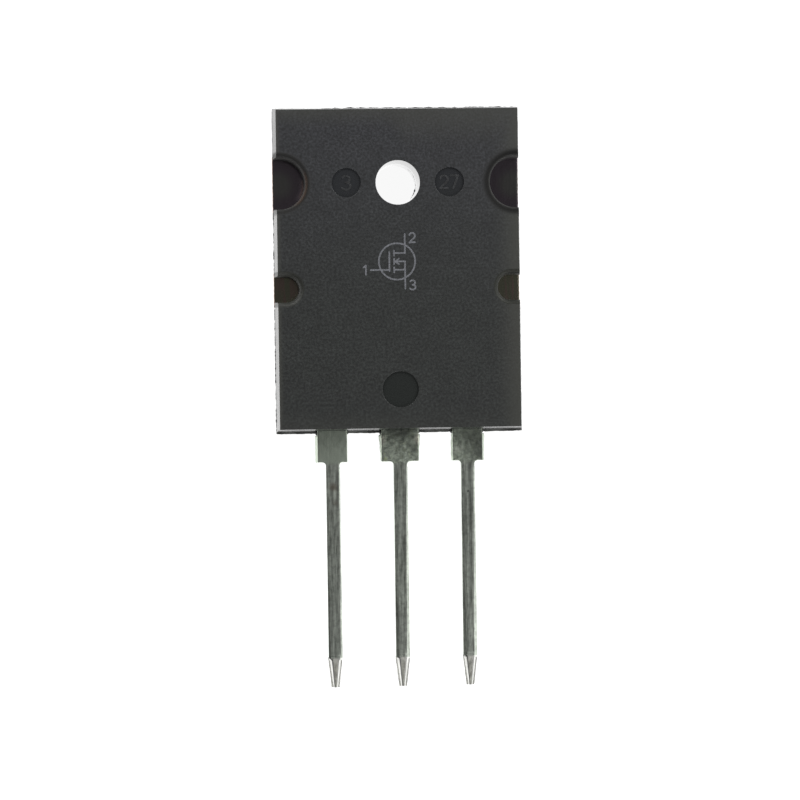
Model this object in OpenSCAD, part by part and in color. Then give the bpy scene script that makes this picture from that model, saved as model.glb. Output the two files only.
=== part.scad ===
// Power transistor: a moulded plate-backed package with a mounting hole and three flat leads.
// The origin is the mounting hole's centre on the seating plane. +Z leaves the front face,
// +Y points to the hole end, and the leads run towards -Y. All sizes are in millimetres.

/* [Moulded body] */
// Width of the body at the parting line
body_w = 19.85; // [19.4:0.05:20.6]
// Length of the body at the parting line
body_l = 26.15; // [25.6:0.05:27]
// Thickness of the body
body_t = 5.0; // [4.7:0.1:5.6]
// Draft angle of the front half's side walls
front_draft = 6.8; // [3:0.2:9]
// Draft angle of the rear half's side walls
rear_draft = 5; // [2:0.5:8]
// How far the rear half stands out past the front half at the lead side
lead_ledge = 0.15; // [0.05:0.05:0.3]

/* [Mounting hole] */
// Diameter of the hole's straight wall, in the rear half
hole_d = 3.3; // [3:0.1:3.5]
// Diameter of the hole at the front face
hole_front_d = 3.55; // [3.4:0.05:4.2]
// Distance from the hole's axis to the body's hole end
hole_to_end = 6.14; // [5.9:0.02:6.5]

/* [Side notches] */
// Floor radius of the large notches, which are level with the hole
big_notch_r = 2.02; // [1.8:0.02:2.3]
// Distance of the large notches' centres inside the body's sides
big_notch_inset = 0.46; // [0.3:0.02:0.9]
// Floor radius of the small notches
small_notch_r = 1.0; // [0.8:0.02:1.2]
// Distance of the small notches' centres inside the body's sides
small_notch_inset = 0.95; // [0.8:0.05:1.3]
// Distance of the small notches from the hole's axis, towards the leads
small_notch_y = 8.42; // [8.1:0.02:8.9]
// Draft angle of the notch walls
notch_draft = 1; // [0.5:0.5:3]
// Radius of the notches' rounded rims
notch_rim_r = 0.4; // [0.2:0.05:0.6]

/* [Ejector pin marks] */
// Diameter of the two marks beside the hole
upper_mark_d = 2.35; // [2:0.05:2.8]
// Distance of the two marks from the hole's axis
upper_mark_x = 4.12; // [3.7:0.05:4.5]
// Diameter of the mark near the leads
lower_mark_d = 2.9; // [2.4:0.1:3.2]
// Distance of that mark from the hole's axis
lower_mark_y = 16.5; // [15.5:0.1:17.2]
// Depth of the marks
mark_depth = 0.12; // [0.05:0.01:0.2]

/* [Heat sink plate] */
// Thickness of the plate
plate_t = 2.0; // [1.8:0.05:2.2]
// Moulding left beside the plate's bare back
plate_side_margin = 1.5; // [1:0.1:2.4]
// Moulding left beyond the plate's bare back at the hole end
plate_end_margin = 1.3; // [0.9:0.1:2]
// Moulding left beyond the plate's bare back at the lead side
plate_setback = 5.0; // [4.2:0.1:6]
// Corner radius of the plate's bare back
plate_corner_r = 1.0; // [0.4:0.1:2]
// Width of the locking flange around the plate, buried in the moulding
flange_w = 0.4; // [0.2:0.05:0.5]
// Height of the flange's lower side above the seating plane
flange_z = 0.9; // [0.6:0.1:1.1]
// Diameter of the opening in the plate around the mounting hole
plate_hole_d = 5.6; // [5:0.1:6]
// Length along the body of the ears under the large notches
big_ear_l = 5.4; // [5.2:0.1:6]
// Length along the body of the ears under the small notches
small_ear_l = 3.2; // [2.8:0.1:3.8]
// Depth of the moisture groove across the plate's front
groove_depth = 0.25; // [0.1:0.05:0.4]
// Distance of the groove from the hole's axis
groove_y = 3.6; // [3.3:0.1:3.8]

/* [Leads] */
// Spacing of the leads
lead_pitch = 5.45; // [5.2:0.05:5.7]
// Height of the leads' back above the seating plane, which is the parting line too
lead_z = 2.7; // [2.54:0.02:2.88]
// Thickness of the leads, without their tin plating
lead_t = 0.62; // [0.5:0.02:0.8]
// Length of the leads outside the body
lead_l = 20.45; // [12:0.05:24]
// Width of the leads, without their tin plating
lead_w = 1.05; // [0.9:0.05:1.4]
// Width of the outer leads next to the body
outer_root_w = 2.35; // [2:0.05:2.7]
// Width of the centre lead next to the body
centre_root_w = 2.95; // [2.6:0.05:3.2]
// Length of the wide part outside the body
root_l = 2.3; // [1.8:0.1:2.8]
// Radius where the wide part meets the lead
shoulder_r = 0.3; // [0.1:0.05:0.4]
// Width of the slopes along the leads' front edges, next to the wide part
edge_root_w = 0.08; // [0.04:0.02:0.14]
// Width of those slopes at the start of the tip
edge_tip_w = 0.22; // [0.1:0.02:0.28]
// Angle of those slopes from the leads' front
edge_angle = 35; // [20:1:45]

/* [Coined tips] */
// Length of the tips
tip_l = 2.4; // [1.4:0.1:3]
// Width of a tip's start between its two lips
tip_start_w = 1.0; // [0.8:0.02:1.04]
// Width of a tip's end between its two lips
tip_end_w = 0.46; // [0.3:0.02:0.6]
// Width of the flat on the front and back of a tip's start
tip_start_flat_w = 0.5; // [0.3:0.02:0.6]
// Width of the flat on the front and back of a tip's end
tip_end_flat_w = 0.14; // [0.06:0.02:0.24]
// How far the squeezed-out lips stand out along a tip's sides
tip_lip_w = 0.08; // [0.04:0.01:0.12]
// Thickness of those lips
tip_lip_t = 0.08; // [0.04:0.02:0.14]

/* [Bonding pads] */
// Width of the gate lead's pad
gate_pad_w = 3.4; // [2.6:0.1:4]
// Width of the source lead's pad
source_pad_w = 6.2; // [5.6:0.1:6.4]
// Length of the pads
pad_l = 2.2; // [1.8:0.1:2.4]
// Moulding between the pads and the body's lead side
pad_setback = 1.5; // [1.3:0.1:1.7]
// Gap between the centre lead and the source pad
pad_gap = 0.7; // [0.4:0.1:0.9]
// Diameter of the locking hole in each outer lead
lock_hole_d = 0.8; // [0.5:0.1:1]
// Length of the centre lead's slope from the plate up to the leads' height
jog_l = 1.6; // [1.2:0.1:1.8]

/* [Silicon die] */
// Width of the die
die_w = 11.2; // [9:0.1:12]
// Length of the die
die_l = 9.4; // [7:0.1:9.8]
// Thickness of the die
die_t = 0.38; // [0.2:0.02:0.5]
// Thickness of the solder under the die
solder_t = 0.08; // [0.04:0.01:0.15]
// How far the solder shows around the die
solder_rim = 0.15; // [0:0.05:0.3]
// Distance from the die to the end of the plate's bare back
die_to_plate_end = 1.3; // [1.1:0.1:1.6]

/* [Bond wires] */
// Number of source wires
source_wires = 5; // [3:1:6]
// Diameter of the source wires
source_wire_d = 0.5; // [0.3:0.05:0.5]
// Diameter of the gate wire
gate_wire_d = 0.25; // [0.15:0.05:0.38]
// Height of each wire's loop above the line between its two ends
loop_h = 0.85; // [0.6:0.05:0.9]
// Spacing of the source wires on the die
source_bond_pitch = 1.35; // [1:0.05:1.4]
// Distance from the die's side to its outermost source wire
source_bond_inset = 0.9; // [0.6:0.1:1.6]
// Distance from the die's side to the gate wire
gate_bond_inset = 1.3; // [0.6:0.1:2]
// Distance of the bonds from the die's lead-side edge
bond_to_die_edge = 1.1; // [0.9:0.1:2]

/* [Hidden] */
$fn = 64;
// How far a cutting shape runs past the surface that it cuts
over = 1;

// The body's planes
hole_end_y = hole_to_end;
lead_side_y = hole_to_end - body_l;
front_base_y = lead_side_y + lead_ledge;
front_taper = (body_t - lead_z) * tan(front_draft);
rear_taper = lead_z * tan(rear_draft);
notch_flare = (body_t - notch_rim_r - plate_t) * tan(notch_draft);
notch_rim_steps = 6;

// The plate's bare back
plate_top_y = hole_end_y - plate_end_margin;
plate_end_y = lead_side_y + plate_setback;
plate_w = body_w - 2 * plate_side_margin;

// The leads' own stations along Y
shoulder_y = lead_side_y - root_l;
tip_start_y = lead_side_y - lead_l + tip_l;
tip_end_y = lead_side_y - lead_l;
pad_end_y = lead_side_y + pad_setback;
lead_top_z = lead_z + lead_t;
tip_slice = 0.02;

// The centre lead leaves the flange's end and climbs to the other leads' height
jog_start_y = plate_end_y - flange_w;
jog_end_y = jog_start_y - jog_l;
jog_steps = 12;
// How far the slope's own solid runs on into the straight lead
jog_tail = 0.2;
source_pad_x = centre_root_w / 2 + pad_gap;

// The die, and the heights of what lies on it
solder_top_z = plate_t + solder_t;
die_top_z = solder_top_z + die_t;
die_end_y = plate_end_y + die_to_plate_end;
bond_y = die_end_y + bond_to_die_edge;
pad_bond_y = pad_end_y + pad_l / 2;

// Section of one body half as seen along Y, wide at the parting line
function wall_profile(w) = [
    [-w / 2 + rear_taper, 0],
    [w / 2 - rear_taper, 0],
    [w / 2, lead_z],
    [w / 2 - front_taper, body_t],
    [-w / 2 + front_taper, body_t],
    [-w / 2, lead_z]
];

// Section of the body as seen along X, with the ledge at the lead side
side_profile = [
    [lead_side_y + rear_taper, 0],
    [hole_end_y - rear_taper, 0],
    [hole_end_y, lead_z],
    [hole_end_y - front_taper, body_t],
    [front_base_y + front_taper, body_t],
    [front_base_y, lead_z],
    [lead_side_y, lead_z]
];

// Extrudes a Y-Z outline along X, centred
module along_x(length) {
    rotate([90, 0, 90])
        linear_extrude(height = length, center = true)
            children();
}

// Extrudes an X-Z outline along Y, between two stations
module along_y(from_y, to_y) {
    translate([0, to_y, 0])
        rotate([90, 0, 0])
            linear_extrude(height = to_y - from_y)
                children();
}

// The two drafted halves as one block, before anything is cut
module body_block() {
    intersection() {
        along_y(lead_side_y - over, hole_end_y + over) polygon(wall_profile(body_w));
        along_x(body_w + 2 * over) polygon(side_profile);
    }
}

// The mounting hole's cutter: straight in the rear half, drafted in the front half
module mounting_hole() {
    rotate_extrude()
        polygon([
            [0, -over],
            [hole_d / 2, -over],
            [hole_d / 2, lead_z],
            [hole_front_d / 2, body_t],
            [hole_front_d / 2, body_t + over],
            [0, body_t + over]
        ]);
}

// Half the section that a notch cuts: from its floor up a drafted wall and out over a round rim
module notch_section(r) {
    round_x = r + notch_flare + notch_rim_r;
    rim = [for (i = [0 : notch_rim_steps])
        let (a = 180 - 90 * i / notch_rim_steps)
        [round_x + notch_rim_r * cos(a), body_t - notch_rim_r + notch_rim_r * sin(a)]
    ];
    polygon(concat([[0, plate_t], [r, plate_t]], rim, [[round_x, body_t + over], [0, body_t + over]]));
}

// A notch that opens at the body's side: a half-round, then straight walls to the side
module side_notch(r, inset) {
    translate([body_w / 2 - inset, 0, 0]) {
        rotate_extrude(angle = 180, start = 90) notch_section(r);
        rotate([90, 0, 90])
            linear_extrude(height = inset + over) {
                notch_section(r);
                mirror([1, 0]) notch_section(r);
            }
    }
}

// The four notches that bare the heat sink
module side_notches() {
    for (side = [0, 1])
        mirror([side, 0, 0]) {
            side_notch(big_notch_r, big_notch_inset);
            translate([0, -small_notch_y, 0]) side_notch(small_notch_r, small_notch_inset);
        }
}

// One shallow round left in the front face by an ejector pin
module pin_mark(d) {
    translate([0, 0, body_t - mark_depth]) cylinder(h = mark_depth + over, d = d);
}

// The epoxy moulding, with a seat for everything that it holds
module moulded_body() {
    color([0.23, 0.23, 0.24])
        difference() {
            body_block();
            mounting_hole();
            side_notches();
            for (x = [-upper_mark_x, upper_mark_x]) translate([x, 0, 0]) pin_mark(upper_mark_d);
            translate([0, -lower_mark_y, 0]) pin_mark(lower_mark_d);
            heat_sink();
            gate_lead();
            source_lead();
            silicon_die();
            die_solder();
            gate_wire();
            for (i = [1 : source_wires]) source_wire(i);
        }
}

// A rectangle with round corners between two stations, centred on the Y axis
module rounded_plan(w, from_y, to_y, r) {
    translate([-w / 2 + r, from_y]) square([w - 2 * r, to_y - from_y]);
    translate([-w / 2, from_y + r]) square([w, to_y - from_y - 2 * r]);
    for (x = [-w / 2 + r, w / 2 - r], y = [from_y + r, to_y - r]) translate([x, y]) circle(r);
}

// The plate's outline with its round opening, grown by the flange or not
module plate_plan(grow) {
    difference() {
        rounded_plan(
            plate_w + 2 * grow, plate_end_y - grow, plate_top_y + grow, plate_corner_r + grow
        );
        circle(d = plate_hole_d + 2 * (flange_w - grow));
    }
}

// Ears that reach the body's sides under the notches, sheared flush with the moulding
module ears() {
    intersection() {
        body_block();
        translate([0, 0, flange_z])
            linear_extrude(height = plate_t - flange_z)
                for (x = [-1, 1])
                    for (ear = [[0, big_ear_l], [-small_notch_y, small_ear_l]])
                        translate([x * plate_w / 2, ear[0]])
                            square([body_w - plate_w + over, ear[1]], center = true);
    }
}

// A V-shaped groove across the plate's front, between the hole and the die
module moisture_groove() {
    along_x(plate_w + 2 * flange_w + over)
        translate([-groove_y, plate_t])
            polygon([[-groove_depth, 0], [0, -groove_depth], [groove_depth, 0], [0, groove_depth]]);
}

// The sloping neck between the plate and the centre lead
module jog() {
    lead_bottom = [for (i = [0 : jog_steps])
        let (t = i / jog_steps)
        [jog_start_y - t * jog_l, plate_t - lead_t + (lead_z + lead_t - plate_t) * (1 - cos(180 * t)) / 2]
    ];
    lead_top = [for (i = [jog_steps : -1 : 0]) lead_bottom[i] + [0, lead_t]];
    root = [[plate_end_y, plate_t], [plate_end_y, plate_t - lead_t]];
    tail = [[jog_end_y - jog_tail, lead_z], [jog_end_y - jog_tail, lead_top_z]];
    along_x(centre_root_w) polygon(concat(lead_bottom, tail, lead_top, root));
}

// The round inside corners where a lead's wide part steps down to the lead
module shoulder_fillets() {
    for (side = [0, 1])
        mirror([side, 0])
            translate([lead_w / 2, shoulder_y - shoulder_r])
                difference() {
                    translate([-lead_w / 4, 0]) square([lead_w / 4 + shoulder_r, shoulder_r]);
                    translate([shoulder_r, 0]) circle(shoulder_r);
                }
}

// The wide part in plan, from inside the body to the shoulders
module root_plan(root_w, from_y) {
    translate([-root_w / 2, shoulder_y]) square([root_w, from_y - shoulder_y]);
    shoulder_fillets();
}

// Section of the lead, whose front edges slope over a width of edge_w
function shaft_section(edge_w) =
    let (flat_x = lead_w / 2 - edge_w, edge_z = lead_t - edge_w * tan(edge_angle))
    [
        [-lead_w / 2, 0],
        [lead_w / 2, 0],
        [lead_w / 2, edge_z],
        [flat_x, lead_t],
        [-flat_x, lead_t],
        [-lead_w / 2, edge_z]
    ];

// The straight lead, from inside the wide part to the start of the tip
module lead_shaft() {
    hull() {
        along_y(shoulder_y, shoulder_y + shoulder_r) polygon(shaft_section(edge_root_w));
        along_y(tip_start_y, tip_start_y + tip_slice) polygon(shaft_section(edge_tip_w));
    }
}

// Section of the tip: a hexagon with its outermost edges at half the lead's thickness
function tip_section(w, flat_w) = [
    [-w / 2, lead_t / 2],
    [-flat_w / 2, 0],
    [flat_w / 2, 0],
    [w / 2, lead_t / 2],
    [flat_w / 2, lead_t],
    [-flat_w / 2, lead_t]
];

// The coined tip: a bevelled point, with a thin lip squeezed out along each side
module lead_tip() {
    lip_start_x = tip_start_w / 2 + tip_lip_w;
    lip_end_x = tip_end_w / 2 + tip_lip_w;
    hull() {
        along_y(tip_start_y, tip_start_y + tip_slice) polygon(tip_section(tip_start_w, tip_start_flat_w));
        along_y(tip_end_y, tip_end_y + tip_slice) polygon(tip_section(tip_end_w, tip_end_flat_w));
    }
    translate([0, 0, (lead_t - tip_lip_t) / 2])
        linear_extrude(height = tip_lip_t)
            polygon([
                [-lip_start_x, tip_start_y],
                [-lip_end_x, tip_end_y],
                [lip_end_x, tip_end_y],
                [lip_start_x, tip_start_y]
            ]);
}

// One flat lead on the Y axis
module lead(root_w, from_y) {
    translate([0, 0, lead_z]) {
        linear_extrude(height = lead_t) root_plan(root_w, from_y);
        lead_shaft();
        lead_tip();
    }
}

// A lead with the pad that its wires are bonded to. The pad spans pad_x[0] to pad_x[1],
// and the lead runs into it as far as the bonds.
module bonded_lead(lead_x, pad_x) {
    difference() {
        union() {
            translate([lead_x, 0, 0]) lead(outer_root_w, pad_bond_y);
            translate([pad_x[0], pad_end_y, lead_z]) cube([pad_x[1] - pad_x[0], pad_l, lead_t]);
        }
        translate([lead_x, lead_side_y + pad_setback / 2, lead_z - over])
            cylinder(h = lead_t + 2 * over, d = lock_hole_d);
    }
}

// The copper stamping: plate, locking flange, ears and centre lead in one piece
module heat_sink() {
    color([0.72, 0.66, 0.6]) {
        difference() {
            union() {
                linear_extrude(height = plate_t) plate_plan(0);
                translate([0, 0, flange_z]) linear_extrude(height = plate_t - flange_z) plate_plan(flange_w);
                ears();
            }
            moisture_groove();
        }
        jog();
        lead(centre_root_w, jog_end_y);
    }
}

// The left lead, with a small pad for one wire
module gate_lead() {
    color([0.6, 0.61, 0.6])
        bonded_lead(-lead_pitch, [-lead_pitch - gate_pad_w / 2, -lead_pitch + gate_pad_w / 2]);
}

// The right lead, with a wide pad for the source wires
module source_lead() {
    color([0.6, 0.61, 0.6])
        bonded_lead(lead_pitch, [source_pad_x, source_pad_x + source_pad_w]);
}

// The solder layer between the plate and the die
module die_solder() {
    color([0.7, 0.71, 0.74])
        translate([-die_w / 2 - solder_rim, die_end_y - solder_rim, plate_t])
            cube([die_w + 2 * solder_rim, die_l + 2 * solder_rim, solder_t]);
}

// The switching chip
module silicon_die() {
    color([0.35, 0.38, 0.45])
        translate([-die_w / 2, die_end_y, solder_top_z]) cube([die_w, die_l, die_t]);
}

// A wire looped in a round arc between two flattened feet
module bond_wire(from, to, d) {
    run = norm([to[0] - from[0], to[1] - from[1]]);
    rise = to[2] - from[2];
    chord = norm([run, rise]);
    arc_r = (chord * chord / 4 + loop_h * loop_h) / (2 * loop_h);
    centre = [run / 2 + (arc_r - loop_h) * rise / chord, d / 2 + rise / 2 - (arc_r - loop_h) * run / chord];
    first = atan2(rise + d / 2 - centre[1], run - centre[0]);
    last = atan2(d / 2 - centre[1], -centre[0]);
    foot = [2 * d, 1.3 * d, 0.9 * d];
    color([0.85, 0.86, 0.88])
        translate(from)
            rotate([0, 0, atan2(to[1] - from[1], to[0] - from[0])]) {
                translate([centre[0], 0, centre[1]])
                    rotate([90, 0, 0])
                        rotate_extrude(angle = last - first, start = first)
                            translate([arc_r, 0]) circle(d = d);
                for (end = [[0, 0], [run, rise]])
                    translate([end[0] - foot[0] / 2, -foot[1] / 2, end[1]]) cube(foot);
            }
}

// The thin wire from the die's gate corner to the gate lead
module gate_wire() {
    bond_wire(
        [-die_w / 2 + gate_bond_inset, bond_y, die_top_z],
        [-lead_pitch, pad_bond_y, lead_top_z],
        gate_wire_d
    );
}

// One of the thick wires that fan out from the die to the source lead
module source_wire(i) {
    pad_step = (source_pad_w - 4 * source_wire_d) / (source_wires - 1);
    bond_wire(
        [die_w / 2 - source_bond_inset - (source_wires - i) * source_bond_pitch, bond_y, die_top_z],
        [source_pad_x + 2 * source_wire_d + (i - 1) * pad_step, pad_bond_y, lead_top_z],
        source_wire_d
    );
}

moulded_body();
heat_sink();
gate_lead();
source_lead();
silicon_die();
die_solder();
gate_wire();
for (i = [1 : source_wires]) {
    source_wire(i);
}
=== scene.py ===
"""Finish and stage of a moulded power transistor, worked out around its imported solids."""

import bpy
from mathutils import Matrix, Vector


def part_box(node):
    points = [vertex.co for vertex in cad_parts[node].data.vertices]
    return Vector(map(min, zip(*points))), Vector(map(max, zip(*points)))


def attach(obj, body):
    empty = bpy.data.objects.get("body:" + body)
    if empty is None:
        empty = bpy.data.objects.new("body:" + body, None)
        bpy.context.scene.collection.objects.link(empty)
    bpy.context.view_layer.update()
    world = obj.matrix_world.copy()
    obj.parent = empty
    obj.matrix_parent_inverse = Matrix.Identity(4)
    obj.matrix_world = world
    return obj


bl_info = {
    "name": "Power Transistor",
    "version": (1, 0, 0),
    "blender": (4, 5, 0),
    "location": "3D View > Sidebar > Transistor",
    "description": "Finishes a moulded power transistor: moulding, plating, marks and a plain stage",
    "category": "Object",
}

import math

import bmesh
import bpy
import numpy as np
from mathutils import Matrix

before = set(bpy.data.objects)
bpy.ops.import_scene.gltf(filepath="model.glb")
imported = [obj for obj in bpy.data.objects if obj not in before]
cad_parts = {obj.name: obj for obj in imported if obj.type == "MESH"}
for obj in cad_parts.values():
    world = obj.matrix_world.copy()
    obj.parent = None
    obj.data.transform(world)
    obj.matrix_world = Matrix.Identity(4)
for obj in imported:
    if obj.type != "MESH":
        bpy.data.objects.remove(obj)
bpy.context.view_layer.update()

MM = 0.001
BODY = "root"


def box_mm(node):
    """Lowest and highest corner of a solid, in millimetres."""
    return tuple(np.array(corner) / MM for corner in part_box(node))


BODY_LOW, BODY_HIGH = box_mm("moulded_body")
GATE_LOW, GATE_HIGH = box_mm("gate_lead")

# Places and sizes that the solids were drawn with, in millimetres
PITCH = 5.45
LEAD_MID_Z = (GATE_LOW[2] + GATE_HIGH[2]) / 2
LEAD_HALF_T = (GATE_HIGH[2] - GATE_LOW[2]) / 2
LEAD_HALF_W = 0.525
ROOT_L = 2.3
SHOULDER_R = 0.3
EDGE_ROOT_W = 0.08
EDGE_TIP_W = 0.22
EDGE_SLOPE = math.tan(math.radians(35))
TIP_L = 2.4
TIP_START_HALF_W = 0.5
TIP_END_HALF_W = 0.23
TIP_START_EDGE_W = 0.25
TIP_END_EDGE_W = 0.16
TIP_LIP_W = 0.08
PLATE_T = 2.0
PARTING_Z = 2.7
HOLE_R = 1.65
FRONT_HALF_W = 9.66
BIG_NOTCH = (9.465, 0.0)
BIG_NOTCH_R = 2.02
SMALL_NOTCH = (8.975, -8.42)
SMALL_NOTCH_R = 1.0
EARS = ((-2.7, 2.7), (-10.02, -6.82))
EAR_X = 9.85
MARK_DEPTH = 0.12
UPPER_MARK_X = 4.12
FRONT_Z = BODY_HIGH[2]
LEAD_SIDE_Y = BODY_LOW[1]
HOLE_END_Y = BODY_HIGH[1]
SHOULDER_Y = LEAD_SIDE_Y - ROOT_L
TIP_END_Y = GATE_LOW[1]
TIP_START_Y = TIP_END_Y + TIP_L

# Sizes of the plating, in millimetres: its reach into the moulding, the length of the necks above the tips,
# the slope of the shafts' right sides, the roundings of its edges, the crown of its faces and its finest
# unevenness
BURIED = 0.22
NECK_L = 0.3
SHAFT_FLARE = 0.08
CORNER_R = 0.055
TIP_CORNER_R = 0.025
SHOULDER_CORNER_R = 0.05
FACE_CROWN = 0.006
SKIN_UNEVEN = 0.0025

# The ridge that the coining raised where a tip starts: its height, its place above the tip and its length
RIDGE_H = 0.035
RIDGE_ABOVE = 0.06
RIDGE_L = 0.14

# Tints of the spots on the leads. The lightest is a painted highlight; the dark one serves both for specks
# and for painted shade.
BROWN = (0.20, 0.12, 0.07)
DARK = (0.05, 0.05, 0.05)
HIGHLIGHT = (0.95, 0.94, 0.80)
PALE = (0.82, 0.86, 0.76)
GREEN = (0.70, 0.80, 0.45)

# Each lead's place in the row, and the half width and unevenness of its wide part. The left and right sides
# of that part slope out by flare, more so at the moulding by lean. Then the share of the shaft's bevels, how
# far right of the middle the shaft's dark seam runs, the share of mottling, and spots as x, y, radius,
# softness, tint and strength. Most spots are stained patches; the two light ones at the drain lead's edges
# are painted highlights, and the wide dark ones at the drain and source leads' roots are painted shade.
LEADS = {
    "gate_lead_plating": {
        "x": -PITCH, "root": 1.175, "rough": 0.003, "flare": (0.19, 0.02), "lean": 0.0,
        "edge": 0.5, "seam": 0.36, "mottle": 0.12, "seed": 11,
        "stains_and_light": ((-5.45, -24.3, 0.3, 0.25, BROWN, 0.5), (-5.3, -25.6, 0.2, 0.2, BROWN, 0.3)),
    },
    "drain_lead_plating": {
        "x": 0.0, "root": 1.475, "rough": 0.011, "flare": (0.14, 0.12), "lean": 0.75,
        "edge": 0.95, "seam": 0.25, "mottle": 0.9, "seed": 23,
        "stains_and_light": (
            # Painted highlights at the edges of the wide part.
            (1.5, -20.55, 0.3, 0.28, HIGHLIGHT, 0.95), (-1.55, -20.6, 0.3, 0.3, HIGHLIGHT, 0.8),
            (1.02, -20.4, 0.12, 0.14, DARK, 0.55), (1.1, -21.3, 0.35, 0.3, DARK, 0.45),
            # The wide dark spot at the lead's root is painted shade.
            (0.0, -19.55, 1.0, 0.4, DARK, 0.6), (-1.2, -22.1, 0.12, 0.12, GREEN, 0.7),
        ),
    },
    "source_lead_plating": {
        "x": PITCH, "root": 1.175, "rough": 0.006, "flare": (0.12, 0.21), "lean": 0.0,
        "edge": 1.0, "seam": 0.14, "mottle": 0.75, "seed": 37,
        "stains_and_light": (
            (5.43, -24.81, 0.07, 0.06, DARK, 0.9), (6.9, -21.2, 1.2, 1.4, DARK, 0.8),
            # The first dark spot here is painted shade at the lead's root.
            (5.4, -20.4, 0.6, 0.4, DARK, 0.25), (4.6, -21.4, 0.25, 0.35, PALE, 0.6),
        ),
    },
}


class Value:
    """A node's output that stands in arithmetic. Each operation adds its node and returns the result."""

    def __init__(self, net, socket):
        self.net = net
        self.socket = socket

    def __add__(self, other):
        return self.net.join("ADD", self, other)

    def __sub__(self, other):
        return self.net.join("SUBTRACT", self, other)

    def __rsub__(self, other):
        return self.net.join("SUBTRACT", other, self)

    def __mul__(self, other):
        return self.net.join("MULTIPLY", self, other)

    def __pow__(self, other):
        return self.net.join("POWER", self, other)

    def __abs__(self):
        return self.net.join("ABSOLUTE", self, 0.0)

    __radd__ = __add__
    __rmul__ = __mul__


class Net:
    """The nodes of one material or world."""

    def __init__(self, owner):
        owner.use_nodes = True
        self.tree = owner.node_tree
        self.tree.nodes.clear()

    def node(self, kind, settings=(), inputs=(), output=0):
        """Adds a node: its settings first, then the values or links of its inputs. Returns one output."""
        made = self.tree.nodes.new(kind)
        for name, value in dict(settings).items():
            setattr(made, name, value)
        for key, value in dict(inputs).items():
            if isinstance(value, Value):
                self.tree.links.new(value.socket, made.inputs[key])
            else:
                made.inputs[key].default_value = value
        return Value(self, made.outputs[output]) if len(made.outputs) else made

    def join(self, operation, first, second):
        """One operation: a Math node on numbers, a Vector Math node where a vector or colour takes part."""
        pair = [first, second]
        wide = [isinstance(v, Value) and v.socket.type in {"VECTOR", "RGBA"} for v in pair]
        if not any(wide):
            return self.node("ShaderNodeMath", {"operation": operation}, {0: first, 1: second})
        if operation == "MULTIPLY" and not all(wide):
            vector, scale = pair if wide[0] else pair[::-1]
            inputs = {"Vector": vector, "Scale": scale}
            return self.node("ShaderNodeVectorMath", {"operation": "SCALE"}, inputs)
        pair = [v if isinstance(v, (Value, tuple)) else (v, v, v) for v in pair]
        return self.node("ShaderNodeVectorMath", {"operation": operation}, {0: pair[0], 1: pair[1]})

    def millimetres(self):
        """Object coordinates in millimetres, which are the CAD coordinates on every piece here."""
        return self.node("ShaderNodeTexCoord", output="Object") * (1 / MM)

    def parts(self, vector):
        """The three numbers of a vector."""
        return [self.node("ShaderNodeSeparateXYZ", inputs={0: vector}, output=i) for i in range(3)]

    def fade(self, value, low, high):
        """Rises smoothly from 0 at low to 1 at high. With low above high it falls."""
        inputs = {"Value": value, "From Min": low, "From Max": high}
        return self.node("ShaderNodeMapRange", {"interpolation_type": "SMOOTHSTEP"}, inputs)

    def noise(self, at, size, detail=2.0, rough=0.5, shift=0.0):
        """Cloudy noise from 0 to 1 whose features are about size wide: one number, or one for each axis."""
        if isinstance(size, tuple):
            scaled = at * self.node("ShaderNodeCombineXYZ", inputs={i: 1 / s for i, s in enumerate(size)})
        else:
            scaled = at * (1 / size)
        inputs = {"Vector": scaled + shift, "Scale": 1.0, "Detail": detail, "Roughness": rough}
        return self.node("ShaderNodeTexNoise", inputs=inputs)

    def mix(self, factor, first, second):
        """Blends two colours, from the first at 0 to the second at 1."""
        colours = [c if isinstance(c, Value) else (*c, 1.0) for c in (first, second)]
        inputs = {0: factor, 6: colours[0], 7: colours[1]}
        return self.node("ShaderNodeMix", {"data_type": "RGBA"}, inputs, output=2)

    def round_spot(self, x, y, centre, radius, soft):
        """1 inside a round spot in the XY plane, fading to 0 across its soft edge."""
        dx = x - centre[0]
        dy = y - centre[1]
        away = (dx * dx + dy * dy) ** 0.5
        return self.fade(away, radius + soft, radius - soft)

    def relief(self, height, depth, edge=0.0):
        """A normal bent by a height from 0 to 1, depth millimetres deep, over edges rounded by edge."""
        inputs = {"Height": height, "Distance": depth * MM, "Strength": 1.0}
        if edge:
            inputs["Normal"] = self.node("ShaderNodeBevel", {"samples": 4}, {"Radius": edge * MM})
        return self.node("ShaderNodeBump", inputs=inputs)

    def surface(self, shader_inputs):
        """Ends the material in a Principled shader with these inputs."""
        shader = self.node("ShaderNodeBsdfPrincipled", inputs=shader_inputs)
        self.node("ShaderNodeOutputMaterial", inputs={"Surface": shader})


def new_material(name):
    """An empty material and its nodes."""
    material = bpy.data.materials.new(name)
    return material, Net(material)


def paint(piece, material):
    """Gives a piece this one material."""
    piece.data.materials.clear()
    piece.data.materials.append(material)


def shade(colour, factor):
    """A colour made darker or lighter, and never brighter than 0.95."""
    return tuple(min(c * factor, 0.95) for c in colour)


# Surfaces

SHARP = math.radians(40)


def unit(vectors):
    """Vectors made one long."""
    return vectors / np.linalg.norm(vectors, axis=-1, keepdims=True)


def smooth_step(t):
    """3 t^2 - 2 t^3, with t held between 0 and 1."""
    t = np.clip(t, 0.0, 1.0)
    return t * t * (3 - 2 * t)


def ripple(points, size, seed, waves=40):
    """Smooth random heights of about -1 to 1: a sum of cosines of p . k + phase, whose wave vectors k
    have random directions and lengths near one turn per size."""
    draw = np.random.default_rng(seed)
    directions = unit(draw.normal(size=(waves, 3)))
    lengths = size * draw.uniform(0.7, 1.7, waves)
    phases = draw.uniform(0.0, 2 * math.pi, waves)
    turns = points @ (directions * (2 * math.pi / lengths)[:, None]).T + phases
    return np.cos(turns).sum(axis=-1) / math.sqrt(waves)


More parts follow.
